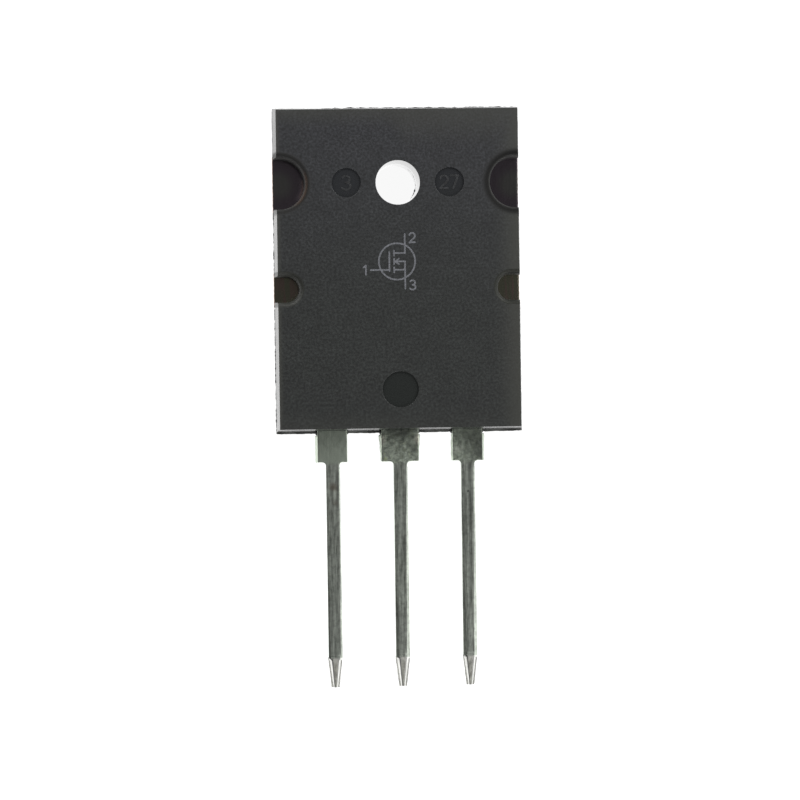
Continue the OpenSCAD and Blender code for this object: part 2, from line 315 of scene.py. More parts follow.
def straight(start, end, normal, count):
    """Points on a straight edge, start + t (end - start) for count steps of t from 0, short of its end. They
    share one normal."""
    t = np.linspace(0.0, 1.0, count, endpoint=False)[:, None]
    points = np.array(start) + t * (np.array(end) - np.array(start))
    return points, np.broadcast_to(np.array(normal, float), points.shape)


def corner(centre, radius, first, last, count, hollow=False):
    """Points on a round corner, centre + radius (cos a, sin a), with a from first to last degrees, short of
    its end. Its normals point away from the centre, or towards it where the corner is hollow."""
    a = np.radians(np.linspace(first, last, count, endpoint=False))[:, None]
    out = np.hstack([np.cos(a), np.sin(a)])
    return np.array(centre) + radius * out, -out if hollow else out


def ring_faces(rings, columns):
    """Quads between neighbouring points of a grid of closed rings, as rows of four numbers."""
    ring, column = np.meshgrid(np.arange(rings - 1), np.arange(columns), indexing="ij")
    after = (column + 1) % columns
    here = ring * columns
    above = here + columns
    return np.stack([here + column, here + after, above + after, above + column], axis=-1).reshape(-1, 4)


def build_piece(name, shells, material):
    """Makes one piece of the part from closed shells, painted with the given material. A shell is its points
    in millimetres, ring by ring, and a flat face closes each of its two end rings. Faces are turned to point
    outwards, and sharp edges stay sharp."""
    points = []
    faces = []
    first = 0
    for rings in shells:
        count, columns = rings.shape[:2]
        end = np.arange(columns)
        faces += (first + ring_faces(count, columns)).tolist()
        faces += [(first + end[::-1]).tolist(), (first + (count - 1) * columns + end).tolist()]
        points.append(rings.reshape(-1, 3) * MM)
        first += count * columns
    data = bpy.data.meshes.new(name)
    data.from_pydata(np.vstack(points), [], faces)
    mesh = bmesh.new()
    mesh.from_mesh(data)
    bmesh.ops.remove_doubles(mesh, verts=mesh.verts, dist=1e-8)
    bmesh.ops.recalc_face_normals(mesh, faces=mesh.faces)
    for edge in mesh.edges:
        edge.smooth = edge.calc_face_angle(0.0) < SHARP
    mesh.to_mesh(data)
    mesh.free()
    data.polygons.foreach_set("use_smooth", np.ones(len(data.polygons), bool))
    piece = bpy.data.objects.new(name, data)
    bpy.context.scene.collection.objects.link(piece)
    paint(piece, material)
    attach(piece, BODY)


# Plated leads


def lead_edge(root_half, coat):
    """Right-hand edge of a plated lead in plan, seen from the front, from inside the moulding to the tip's
    end. It is straight lines and round corners joined end to end: down the wide part, round its corner, in
    along the shoulder, through the hollow fillet, and down the lead and the narrowing tip."""
    root = root_half + coat
    lead = LEAD_HALF_W + coat
    tip_start = TIP_START_HALF_W + coat
    tip_end = TIP_END_HALF_W + coat
    step = SHOULDER_Y - coat
    fillet = SHOULDER_R - coat
    turn = SHOULDER_CORNER_R
    neck_y = TIP_START_Y - NECK_L
    taper = unit(np.array([TIP_L - NECK_L, tip_start - tip_end]))
    down = (taper[0], -taper[1])
    sections = [
        straight((root, LEAD_SIDE_Y + BURIED), (root, step + turn), (1, 0), 48),
        corner((root - turn, step + turn), turn, 0, -90, 6),
        straight((root - turn, step), (lead + fillet, step), (0, -1), 12),
        corner((lead + fillet, step - fillet), fillet, 90, 180, 10, hollow=True),
        straight((lead, step - fillet), (lead, TIP_START_Y), (1, 0), 250),
        straight((lead, TIP_START_Y), (tip_start, neck_y), (1, 0), 8),
        straight((tip_start, neck_y), (tip_end, TIP_END_Y - coat), down, 46),
    ]
    points = np.vstack([s[0] for s in sections] + [[(tip_end, TIP_END_Y - coat)]])
    normals = np.vstack([s[1] for s in sections] + [[down]])
    return points, normals


def rounded_corners(half_t, width, drop, coat, radius, steps=5):
    """Upper half of a lead's side at every station, from its top to its flank: out and up of each point, and
    the angle f that it faces. A slope of this width and drop, moved out by the coat, joins the two. Each
    corner V is rounded as V + radius (cos f, sin f), with V moved in so that the flats stay in place."""
    least = 0.0005
    lean = np.arctan2(drop, np.maximum(width, least))
    inset = width + coat * (1 - np.tan(lean / 2))
    flank = half_t - drop - coat * (1 - (1 - np.sin(lean)) / np.cos(lean))
    inset = np.maximum(inset, radius + least)
    flank = np.minimum(flank, half_t - radius - least)
    lean = math.pi / 2 - np.arctan2(half_t - radius - flank, inset - radius)
    share = np.linspace(0.0, 1.0, steps)
    quarter = math.pi / 2
    angle = np.hstack([quarter + (lean - quarter)[:, None] * share, lean[:, None] * (1 - share)])
    out = np.repeat(np.column_stack([-inset, -radius]), steps, axis=1)
    up = np.repeat(np.column_stack([half_t - radius, flank]), steps, axis=1)
    return out + radius[:, None] * np.cos(angle), up + radius[:, None] * np.sin(angle), angle


def lead_side(points, normals, front, back, flare):
    """One side of a lead at every station, top to bottom, from its front and back corners: its points and
    the way that each one faces. It slopes out by flare times the depth below the top, as a share of the
    whole depth."""
    out = np.hstack([front[0], back[0][:, ::-1]])
    up = np.hstack([front[1], -back[1][:, ::-1]])
    angle = np.hstack([front[2], -back[2][:, ::-1]])
    depth = up[:, :1] - up
    out = out + flare[:, None] * depth / depth[:, -1:]
    plan = points[:, None, :] + out[..., None] * normals[:, None, :]
    place = np.concatenate([plan, up[..., None]], axis=-1)
    sideways = np.cos(angle)[..., None] * normals[:, None, :]
    facing = np.concatenate([sideways, np.sin(angle)[..., None]], axis=-1)
    return place, facing


def lead_face(right, left, spine, height, crown, count):
    """The top or bottom of a lead between its two inner edges, left to right, short of both. Each line
    across bends from the edges' place along the lead to the spine's in the middle, and the face is crowned:
    z = height + crown (1 - t^2), with t from -1 to 1."""
    t = np.linspace(-1.0, 1.0, count + 2)[1:-1]
    across = (t + 1) / 2
    x = left[:, :1] + (right[:, :1] - left[:, :1]) * across
    edge_y = left[:, 1:2] + (right[:, 1:2] - left[:, 1:2]) * across
    ease = smooth_step((1 - np.abs(t)) / 0.4)
    y = edge_y + (spine[:, None] - edge_y) * ease
    z = height[:, None] + crown * (1 - t * t)
    return np.stack([x, y, np.broadcast_to(z, x.shape)], axis=-1)


def plated_lead(lead, coat):
    """The closed skin of one plated lead: rings of a rounded section carried along the lead, which turn with
    its plan at the shoulders, then a small relief along the normals."""
    seed = lead["seed"]
    points, normals = lead_edge(lead["root"], coat)
    y = points[:, 1]
    neck = smooth_step((TIP_START_Y - y) / NECK_L)
    tip = np.clip((TIP_START_Y - y) / TIP_L, 0.0, 1.0)
    shaft = np.clip((SHOULDER_Y - y) / (SHOULDER_Y - TIP_START_Y), 0.0, 1.0)
    on_shaft = smooth_step((SHOULDER_Y - 0.25 - y) / 0.3)
    half_t = np.full(len(y), LEAD_HALF_T + coat)
    shaft_w = (EDGE_ROOT_W + (EDGE_TIP_W - EDGE_ROOT_W) * shaft) * on_shaft * lead["edge"]
    tip_w = TIP_START_EDGE_W + (TIP_END_EDGE_W - TIP_START_EDGE_W) * tip
    front_w = shaft_w + (tip_w - shaft_w) * neck
    front_drop = shaft_w * EDGE_SLOPE * (1 - neck) + LEAD_HALF_T * neck
    radius = CORNER_R - (CORNER_R - TIP_CORNER_R) * neck
    front = rounded_corners(half_t, front_w, front_drop, coat, radius)
    back = rounded_corners(half_t, tip_w * neck, LEAD_HALF_T * neck, coat, radius)
    bare = smooth_step((LEAD_SIDE_Y - 0.08 - y) / 0.15) * (y > SHOULDER_Y) * np.abs(normals[:, 0])
    along = np.column_stack([np.zeros_like(y), y, np.zeros_like(y)])
    sides = []
    lean = lead["lean"] * (2 * (y - SHOULDER_Y) / ROOT_L - 1)
    left_flare, right_flare = lead["flare"]
    ways = ((1.0, right_flare, SHAFT_FLARE, seed + 5), (-1.0, left_flare, 0.0, seed + 6))
    for turn, root_flare, shaft_flare, side_seed in ways:
        wave = 0.18 * lead["mottle"] * ripple(along, 0.6, side_seed)
        flare = root_flare * bare * (1 + wave + lean) + shaft_flare * on_shaft * (1 - neck)
        flip = np.array([turn, 1.0])
        sides.append(lead_side(points * flip, normals * flip, front, back, flare))
    (right, right_facing), (left, left_facing) = sides
    padded = np.pad(right[:, 0, 1], 10, mode="reflect", reflect_type="odd")
    spine = np.convolve(padded, np.ones(21) / 21, "valid")
    ridge = RIDGE_H * np.exp(-((y - TIP_START_Y - RIDGE_ABOVE) / RIDGE_L) ** 2)
    top = lead_face(right[:, 0], left[:, 0], spine, half_t + ridge, FACE_CROWN, 21)
    bottom = lead_face(right[:, -1], left[:, -1], spine, -half_t, -FACE_CROWN, 21)
    up = np.broadcast_to((0.0, 0.0, 1.0), top.shape)
    rings = np.concatenate([top, right, bottom[:, ::-1], left[:, ::-1]], axis=1)
    facing = np.concatenate([up, right_facing, -up, left_facing[:, ::-1]], axis=1)
    root = np.clip((y - SHOULDER_Y + 0.3) / 0.3, 0.0, 1.0)[:, None]
    height = SKIN_UNEVEN * ripple(rings * (1.0, 0.35, 1.0), 0.28, seed)
    lumps = ripple(rings, 0.42, seed + 1) * 0.6 + ripple(rings, 0.2, seed + 2) * 0.4
    height = height + root * lead["rough"] * lumps
    rings = rings + facing * height[..., None]
    return rings + (lead["x"], 0.0, LEAD_MID_Z)


def tip_lip(coat, lead_x, turn, seed):
    """The thin lip that the coining squeezed out along one side of a tip: a bar section that thickens
    outwards to a round edge, carried down the tip's side."""
    t = np.linspace(0.0, 1.0, 40)
    half = TIP_START_HALF_W + (TIP_END_HALF_W - TIP_START_HALF_W) * t
    start_y = TIP_START_Y - 0.02
    y = start_y + (TIP_END_Y - coat - start_y) * t
    reach = TIP_LIP_W + coat
    out = np.array([-0.14, 0.0, 0.75, 0.95, 1.0, 0.95, 0.75, 0.0, -0.14]) * reach
    thick = np.array([0.035, 0.04, 0.075, 0.06, 0.0, -0.06, -0.075, -0.04, -0.035])
    wave = 1 + 0.1 * ripple(np.column_stack([y, y, y]), 0.5, seed)
    x = half[:, None] + out[None, :] * np.where(out > 0, wave[:, None], 1.0)
    z = np.broadcast_to(thick, x.shape)
    y = np.broadcast_to(y[:, None], x.shape)
    return np.stack([turn * x + lead_x, y, z + LEAD_MID_Z], axis=-1)


# Cut ends of the heat sink


def cut_end(turn, low, high, seed):
    """The sheared end of one ear of the plate, from low to high along the body: a section that stands a
    little out of the moulding's side, with a flat top and a rolled lower edge. It dies out at both ends."""
    count = 60
    y = np.linspace(low + 0.01, high - 0.01, count)
    out = np.array([-0.12, 0.02, 0.085, 0.1, 0.095, 0.08, -0.02, -0.12])
    z = np.array([0.93, 0.94, 1.0, 1.2, 1.95, 1.992, 1.992, 1.985])
    t = np.linspace(0.0, 1.0, count)
    ends = smooth_step(np.minimum(t, 1 - t) * count / 5)
    reach = ends * (1 + 0.08 * ripple(np.column_stack([y, y, y]), 0.6, seed))
    x = EAR_X + np.where(out > 0, out * reach[:, None], out)
    y = np.broadcast_to(y[:, None], x.shape)
    return np.stack([turn * x, y, np.broadcast_to(z, x.shape)], axis=-1)


# Mould flash

THIN_FLASH = 0.014
THICK_FLASH = 0.035
LEAST_FLASH = 0.004


def fin(points, normals, z, reach, half_t):
    """A thin fin of resin along an edge: a wedge section, half_t thick each way at the edge and sharp at its
    reach, carried along the points in the direction of the normals."""
    share = np.array([-0.03, 0.25, 0.75, 1.0, 0.75, 0.25, -0.03])
    thick = np.array([1.0, 0.8, 0.4, 0.0, -0.4, -0.8, -1.0]) * half_t
    out = np.where(share[None, :] < 0, share[None, :], share[None, :] * reach[:, None])
    plan = points[:, None, :] + out[..., None] * normals[:, None, :]
    height = np.broadcast_to(z + thick, out.shape)
    return np.concatenate([plan, height[..., None]], axis=-1)


def edge_fin(start, end, z, reach, seed):
    """A fin along a straight edge whose reach varies at random and dies out at both ends."""
    start = np.array(start, float)
    end = np.array(end, float)
    count = max(int(np.linalg.norm(end - start) / 0.05), 8)
    t = np.linspace(0.0, 1.0, count)
    points = start + t[:, None] * (end - start)
    run = unit(end - start)
    normals = np.broadcast_to((run[1], -run[0]), points.shape)
    flat = np.column_stack([points, np.zeros(count)])
    waves = 0.7 + 0.45 * ripple(flat, 0.9, seed) + 0.3 * ripple(flat, 0.25, seed + 1)
    ends = np.clip(np.minimum(t, 1 - t) * count / 4, 0.0, 1.0)
    return fin(points, normals, z, np.maximum(reach * waves * ends, LEAST_FLASH), 0.02)


def hole_burr(z, seed):
    """A ragged fin inside the mounting hole along part of a circle, HOLE_R (cos a, sin a)."""
    count = 90
    a = np.radians(np.linspace(60, -48, count))
    out = np.column_stack([np.cos(a), np.sin(a)])
    points = HOLE_R * out
    flat = np.column_stack([points, np.zeros(count)])
    torn = np.exp(-((np.degrees(a) + 20) / 9) ** 2)
    step = np.arange(count)
    ends = np.clip(np.minimum(step, step[::-1]) / 8, 0.0, 1.0)
    reach = (0.012 + 0.06 * torn) * (0.75 + 0.45 * ripple(flat, 0.3, seed)) * ends
    return fin(points, -out, z, np.maximum(reach, LEAST_FLASH), 0.015)


def blob(centre, radii, rows=10, columns=16):
    """A drop of resin: centre + (a sin u cos v, b sin u sin v, c cos u), with u from pole to pole and v once
    round."""
    u = np.linspace(0.15, math.pi - 0.15, rows)[:, None]
    v = np.linspace(0.0, 2 * math.pi, columns, endpoint=False)[None, :]
    ball = np.stack([np.sin(u) * np.cos(v), np.sin(u) * np.sin(v), np.cos(u) + 0 * v], axis=-1)
    return np.array(centre) + ball * np.array(radii)


def flash_shells():
    """All the flash: fins along the parting line, the burr in the hole and resin at the leads' roots."""
    right = BODY_HIGH[0]
    shells = [
        edge_fin((right - 0.02, HOLE_END_Y), (-6.04, HOLE_END_Y), PARTING_Z, 0.055, 3),
        edge_fin((-7.3, HOLE_END_Y), (-right + 0.05, HOLE_END_Y), PARTING_Z, 0.012, 4),
        hole_burr(1.4, 8),
    ]
    gaps = ((-9.8, -6.75), (-4.1, -1.6), (1.6, 4.1), (6.75, 9.8))
    for seed, (first, last) in enumerate(gaps):
        shells.append(edge_fin((first, LEAD_SIDE_Y), (last, LEAD_SIDE_Y), PARTING_Z, 0.03, 20 + seed))
    spans = (
        (HOLE_END_Y - 0.1, 2.1, THIN_FLASH),
        (-2.1, -7.4, THICK_FLASH),
        (-9.5, LEAD_SIDE_Y + 0.1, THICK_FLASH),
    )
    for seed, (first, last, left_reach) in enumerate(spans):
        shells.append(edge_fin((-right, first), (-right, last), PARTING_Z, left_reach, 30 + seed))
        shells.append(edge_fin((right, last), (right, first), PARTING_Z, THIN_FLASH, 40 + seed))
    for lead in LEADS.values():
        for side, wide, long in ((-1, 0.16, 0.14), (1, 0.12, 0.1)):
            centre = (lead["x"] + side * (lead["root"] + 0.03), LEAD_SIDE_Y, PARTING_Z + 0.1)
            shells.append(blob(centre, (wide, long, 0.2)))
    return shells


# Marks


def arc(centre, radii, first, last, count=16):
    """Points on an elliptic arc, centre + (a cos t, b sin t), with t from first to last degrees."""
    t = np.radians(np.linspace(first, last, count))
    return np.array(centre) + np.column_stack([radii[0] * np.cos(t), radii[1] * np.sin(t)])


DIGITS = {
    "1": ([(0.12, 0.78), (0.36, 1.0)], [(0.36, 1.0), (0.36, 0.0)]),
    "2": (np.vstack([arc((0.3, 0.7), (0.3, 0.3), 165, -38), (0.0, 0.0)]), [(0.0, 0.0), (0.6, 0.0)]),
    "3": (arc((0.28, 0.75), (0.27, 0.25), 150, -90), arc((0.28, 0.26), (0.32, 0.26), 90, -150)),
    "7": ([(0.0, 1.0), (0.58, 1.0)], [(0.58, 1.0), (0.2, 0.0)]),
}
DIGIT_ADVANCE = 0.85


def stroke(points, width, low, high):
    """A bar along a line of points with half-round ends. At distance s past an end, in half widths, its
    width is sqrt(1 - s^2) of the full one."""
    points = np.array(points, float)
    run = unit(np.gradient(points, axis=0))
    half = width / 2
    cap = np.array([0.38, 0.71, 0.92, 0.99])
    caps = len(cap)
    first = points[0] - run[0] * half * cap[::-1, None]
    last = points[-1] + run[-1] * half * cap[:, None]
    line = np.vstack([first, points, last])
    share = np.concatenate([np.sqrt(1 - cap[::-1] ** 2), np.ones(len(points)), np.sqrt(1 - cap ** 2)])
    run = np.vstack([np.repeat(run[:1], caps, axis=0), run, np.repeat(run[-1:], caps, axis=0)])
    side = np.column_stack([-run[:, 1], run[:, 0]]) * (half * share)[:, None]
    ring = np.stack([line + side, line + side, line - side, line - side], axis=1)
    height = np.broadcast_to((low, high, high, low), ring.shape[:2])
    return np.concatenate([ring, height[..., None]], axis=-1)


def bars(lines, width, low, proud):
    """Strokes along several lines that stand proud of a surface, each a hair higher than the one before, so
    that no two tops share a plane where they cross."""
    tops = [low + proud * (1 + 0.04 * i) for i in range(len(lines))]
    return [stroke(line, width, low - 0.01, top) for line, top in zip(lines, tops)]


def digit_lines(word, centre, height):
    """The lines of plain digits in a row, centred."""
    wide = DIGIT_ADVANCE * (len(word) - 1) + 0.6
    lines = []
    for place, digit in enumerate(word):
        foot = np.array((place * DIGIT_ADVANCE - wide / 2, -0.5))
        lines += [np.array(centre) + (foot + line) * height for line in DIGITS[digit]]
    return lines


def symbol_lines(centre, radius):
    """The lines of the plain circuit symbol for a switching transistor: a ring, a gate, a broken channel and
    an arrow, with a line out of the ring to each lead's number."""
    ring = arc((0.0, 0.0), (1.0, 1.0), 90, 450, 60)
    lines = [
        ring[:31],
        ring[30:],
        [(-1.45, -0.46), (-0.42, -0.46)],
        [(-0.42, -0.52), (-0.42, 0.52)],
        [(-0.16, 0.32), (-0.16, 0.6)],
        [(-0.16, -0.14), (-0.16, 0.14)],
        [(-0.16, -0.6), (-0.16, -0.32)],
        [(-0.16, 0.46), (0.44, 0.46)],
        [(0.44, 0.46), (0.44, 1.5)],
        [(-0.16, -0.46), (0.44, -0.46)],
        [(0.44, -1.5), (0.44, 0.0)],
        [(-0.16, 0.0), (0.44, 0.0)],
        [(0.1, 0.15), (-0.1, 0.0)],
        [(0.1, -0.15), (-0.1, 0.0)],
    ]
    return [np.array(centre) + np.array(line) * radius for line in lines]


# Settings


class TransistorSettings(bpy.types.PropertyGroup):
    """Sizes and colours that a user may change before running the operators."""

    moulding_colour: bpy.props.FloatVectorProperty(
        name="Moulding", description="Colour of the moulding compound",
        subtype="COLOR", min=0.0, max=1.0, default=(0.0165, 0.0185, 0.0175),
    )
    # The front blends to this lighter, bluer colour towards the hole end.
    moulding_end_colour: bpy.props.FloatVectorProperty(
        name="Moulding End",
        description="Colour of the moulding compound at the hole end, where it is more worn",
        subtype="COLOR", min=0.0, max=1.0, default=(0.0205, 0.0213, 0.0245),
    )
    mark_colour: bpy.props.FloatVectorProperty(
        name="Marks", description="Colour of the resin that the laser has bleached",
        subtype="COLOR", min=0.0, max=1.0, default=(0.15, 0.155, 0.17),
    )
    edge_radius: bpy.props.FloatProperty(
        name="Edge Radius", description="Rounding of the moulding's edges",
        unit="LENGTH", min=0.0, default=0.00005, precision=6,
    )
    plating_thickness: bpy.props.FloatProperty(
        name="Plating Thickness", description="How far the tin stands out from the leads",
        unit="LENGTH", min=0.000005, max=0.00004, default=0.00002, precision=6,
    )
    plating_colour: bpy.props.FloatVectorProperty(
        name="Plating", description="Colour of the dull tin on the leads",
        subtype="COLOR", min=0.0, max=1.0, default=(0.59, 0.635, 0.565),
    )
    plate_colour: bpy.props.FloatVectorProperty(
        name="Heat Sink", description="Colour of the heat sink's plated faces",
        subtype="COLOR", min=0.0, max=1.0, default=(0.56, 0.51, 0.49),
    )
    copper_colour: bpy.props.FloatVectorProperty(
        name="Copper", description="Colour of the copper where no plating covers it",
        subtype="COLOR", min=0.0, max=1.0, default=(0.56, 0.30, 0.18),
    )


def from_wall(net, across, y, notch, radius):
    """Distance in plan outside a notch's wall, in millimetres: round inwards and straight to the side."""
    inward = net.join("MAXIMUM", notch[0] - across, 0.0)
    along = y - notch[1]
    return (inward * inward + along * along) ** 0.5 - radius


def moulding_material(look):
    """Glass-filled epoxy: an eroded, matt front, smoother walls and polished pin marks."""
    material, net = new_material("moulding_compound")
    at = net.millimetres()
    x, y, z = net.parts(at)
    front = net.fade(z, FRONT_Z - 0.105, FRONT_Z - 0.095)
    mark_floor = net.fade(abs(z - (FRONT_Z - MARK_DEPTH)), 0.012, 0.004)
    across = abs(x)
    right = net.fade(x, -1.0, 1.0)
    big = from_wall(net, across, y, BIG_NOTCH, BIG_NOTCH_R)
    small = from_wall(net, across, y, SMALL_NOTCH, SMALL_NOTCH_R)
    above_plate = net.fade(z, PLATE_T, PLATE_T + 0.2)
    # Painted shade: the moulding is darker and partly metallic around the notches' rims above the plate,
    # over a wider band at the right.
    big_rim = net.fade(big, 0.6 + right * 0.25, 0.3) * above_plate
    small_rim = net.fade(small, 0.46, 0.34) * above_plate
    bore = net.round_spot(x, y, (0.0, 0.0), HOLE_R + 0.2, 0.02) * (1.0 - front)
    # Painted highlight: a light band along the lead end of the moulding, above the parting line.
    ledge = net.fade(y, LEAD_SIDE_Y + 0.16, LEAD_SIDE_Y + 0.13)
    ledge = ledge * net.fade(z, PARTING_Z - 0.05, PARTING_Z - 0.02)
    # Painted highlight: the front is made lighter near its edges, widest along the right side and at the
    # hole end, faint at the lead end.
    side_highlight = net.fade(across, FRONT_HALF_W - 0.56 - right * 2.4, FRONT_HALF_W)
    hole_end_highlight = net.fade(y, HOLE_END_Y - 2.0 - right * 2.0, HOLE_END_Y) * 0.6
    lead_end_highlight = net.fade(y, LEAD_SIDE_Y + 2.4, LEAD_SIDE_Y) * (0.3 - right * 0.12)
    wear_and_highlight = net.join("MAXIMUM", side_highlight * side_highlight * 0.75, hole_end_highlight)
    wear_and_highlight = net.join("MAXIMUM", wear_and_highlight, lead_end_highlight) * front
    # Painted reflection: the left side wall is lighter and olive, more so towards the lead end, and has a
    # clear coat.
    left_wall_sheen = net.fade(x, 0.16 - FRONT_HALF_W, 0.06 - FRONT_HALF_W) * (1.0 - front)
    left_wall_sheen = left_wall_sheen * (0.2 + net.fade(y, 2.5, -2.5) * 0.8)
    grain = net.noise(at, 0.2, 3.0, 0.65)
    cloud = net.noise(at, 1.4, 3.0, 0.55, shift=3.1)
    fleck = net.fade(net.noise(at, 0.09, 1.0, 0.5, shift=7.7), 0.66, 0.8)
    # The front blends to a lighter, bluer colour towards the hole end.
    towards_hole = net.fade(y, LEAD_SIDE_Y + 8.0, HOLE_END_Y)
    base = net.mix(towards_hole, look.moulding_colour, look.moulding_end_colour)
    colour = net.mix(net.fade(cloud, 0.3, 0.7), base * 0.84, base * 1.08)
    colour = net.mix(net.fade(grain, 0.35, 0.7) * front, colour * 0.56, colour * 1.62)
    colour = net.mix(fleck * front * 0.4, colour, colour * 2.2)
    colour = net.mix(mark_floor, colour, base * 1.15)
    # Painted highlight near the front's edges.
    colour = net.mix(wear_and_highlight, colour, (0.042, 0.043, 0.036))
    # Painted light: a copper-coloured glowing line along part of the left large notch's rim.
    line = net.fade(big, 0.02, 0.12) * net.fade(big, 0.34, 0.2)
    glow = line * (1.0 - right) * net.fade(y, 1.3, 0.3) * net.fade(y, -2.0, -1.4)
    rim_shade_and_glow = net.mix(glow, (0.021, 0.021, 0.020), (0.046, 0.028, 0.019))
    # Tint of the painted highlight at the lead end.
    ledge_highlight = net.mix(net.fade(cloud, 0.4, 0.6), (0.06, 0.062, 0.058), (0.18, 0.184, 0.176))
    # Painted shade and the painted copper glow at the notches' rims.
    colour = net.mix(big_rim, colour, rim_shade_and_glow)
    colour = net.mix(small_rim * 0.8, colour, (0.016, 0.017, 0.012))
    colour = net.mix(ledge, colour, ledge_highlight)
    # Painted reflection on the left side wall.
    colour = net.mix(left_wall_sheen * 0.5, colour, (0.030, 0.031, 0.022))
    matt = (big_rim + small_rim * (1.0 - front) + ledge) * 0.35
    rough = 0.27 + front * 0.26 + matt + (grain - 0.5) * 0.14 - bore * 0.25
    height = grain * front + cloud * 0.3
    net.surface({
        "Base Color": colour,
        "Metallic": big_rim * (0.42 + right * 0.3) + small_rim * right * 0.5,
        "Roughness": rough,
        "IOR": 1.55,
        "Coat Weight": left_wall_sheen * 0.32 + bore,
        "Coat Roughness": 0.12,
        "Normal": net.relief(height, 0.006, edge=look.edge_radius / MM),
    })
    return material


def plating_material(name, look, lead):
    """Dull tin: drawn streaks along the lead, and a mottled, partly dissolved coat on the wide part."""
    material, net = new_material(name)
    at = net.millimetres()
    x, y = net.parts(at)[:2]
    across = x - lead["x"]
    from_middle = abs(across)
    shift = lead["seed"]
    streak = net.noise(at, (0.16, 3.2, 0.4), 4.0, 0.6, shift=shift)
    fine = net.noise(at, (0.05, 0.9, 0.2), 2.0, 0.6, shift=shift + 5.0)
    patch = net.noise(at, 0.36, 4.0, 0.65, shift=shift + 9.0)
    crystal = net.noise(at, 0.13, 3.0, 0.6, shift=shift + 2.0)
    cell = net.noise(at, 0.3, 2.0, 0.5, shift=shift + 14.0)
    base = look.plating_colour
    streaks = net.mix(net.fade(streak, 0.3, 0.7), shade(base, 0.5), shade(base, 1.32))
    streaks = net.mix(net.fade(fine, 0.35, 0.75) * 0.4, streaks, shade(base, 1.35))
    streaks = net.mix(net.fade(patch, 0.58, 0.36) * 0.6, streaks, streaks * 0.62)
    from_seam = abs(across - lead["seam"] + (streak - 0.5) * 0.3)
    seam = net.fade(from_seam, 0.17, 0.03) * net.fade(y, -34.0, -31.0)
    streaks = net.mix(seam * 0.75, streaks, streaks * 0.55)
    # Painted shade: the shaft darkens along its left edge, more so towards the tip.
    left_edge_shade = net.fade(across, -0.3, -0.5) * net.fade(y, -26.0, -36.0)
    streaks = net.mix(left_edge_shade * 0.5, streaks, streaks * 0.6)
    olive = tuple(c * k for c, k in zip(base, (0.97, 1.008, 0.955)))
    mottle = net.mix(net.fade(patch, 0.35, 0.68), shade(olive, 0.54), shade(olive, 1.14))
    mottle = net.mix(net.fade(cell, 0.52, 0.7) * lead["mottle"] * 0.5, mottle, (0.56, 0.64, 0.44))
    mottle = net.mix(net.fade(crystal, 0.58, 0.8) * lead["mottle"], mottle, (0.85, 0.86, 0.68))
    smooth = net.mix(net.fade(patch, 0.3, 0.7) * 0.5, shade(olive, 1.16), shade(olive, 1.02))
    smooth = net.mix(net.fade(crystal, 0.35, 0.65) * 0.15, smooth, smooth * 0.75)
    root = net.fade(y, SHOULDER_Y - 0.4, SHOULDER_Y + 0.1)
    colour = net.mix(root, streaks, net.mix(lead["mottle"], smooth, mottle))
    on_face = net.fade(from_middle, lead["root"] + 0.05, lead["root"] + 0.01)
    # The spots: stained patches, painted highlights and painted shade, as each lead's table gives.
    for spot_x, spot_y, radius, soft, tint, amount in lead["stains_and_light"]:
        stain_and_light_spot = net.round_spot(x, y + (crystal - 0.5) * 0.3, (spot_x, spot_y), radius, soft)
        colour = net.mix(stain_and_light_spot * on_face * amount, colour, tint)
    tip = net.fade(y, TIP_START_Y + 0.02, TIP_START_Y - 0.15)
    down_tip = (y - TIP_START_Y) * (1 / TIP_L)
    start_w = TIP_START_HALF_W - TIP_START_EDGE_W
    end_w = TIP_END_HALF_W - TIP_END_EDGE_W
    top_w = start_w + down_tip * (start_w - end_w)
    half_w = TIP_START_HALF_W + down_tip * (TIP_START_HALF_W - TIP_END_HALF_W)
    wedge = tip * net.fade(from_middle, top_w + 0.03, top_w - 0.05)
    lip = tip * net.fade(from_middle - half_w, 0.0, 0.03)
    bevel_tint = net.mix(net.fade(streak, 0.35, 0.65), (0.62, 0.62, 0.59), (0.84, 0.84, 0.81))
    wedge_tint = net.mix(net.fade(patch, 0.3, 0.65), (0.30, 0.30, 0.27), (0.52, 0.52, 0.47))
    colour = net.mix(tip, colour, bevel_tint)
    colour = net.mix(wedge, colour, wedge_tint)
    # Painted highlight: the top of each tip's middle wedge is lightened.
    colour = net.mix(wedge * net.fade(down_tip, -0.3, -0.05) * 0.5, colour, (0.70, 0.70, 0.66))
    colour = net.mix(lip, colour, (0.92, 0.92, 0.89))
    rough = 0.4 - tip * 0.1 + wedge * 0.3 + lip * net.fade(across, 1.1, -0.4) * 0.6 + (fine - 0.5) * 0.16
    rough = rough + root * lead["mottle"] * (crystal - 0.4) * 0.35
    net.surface({
        "Base Color": colour,
        "Metallic": 1.0,
        "Roughness": rough,
        "Normal": net.relief(streak * 0.5 + crystal * (root + wedge * 2.0), 0.008),
    })
    return material


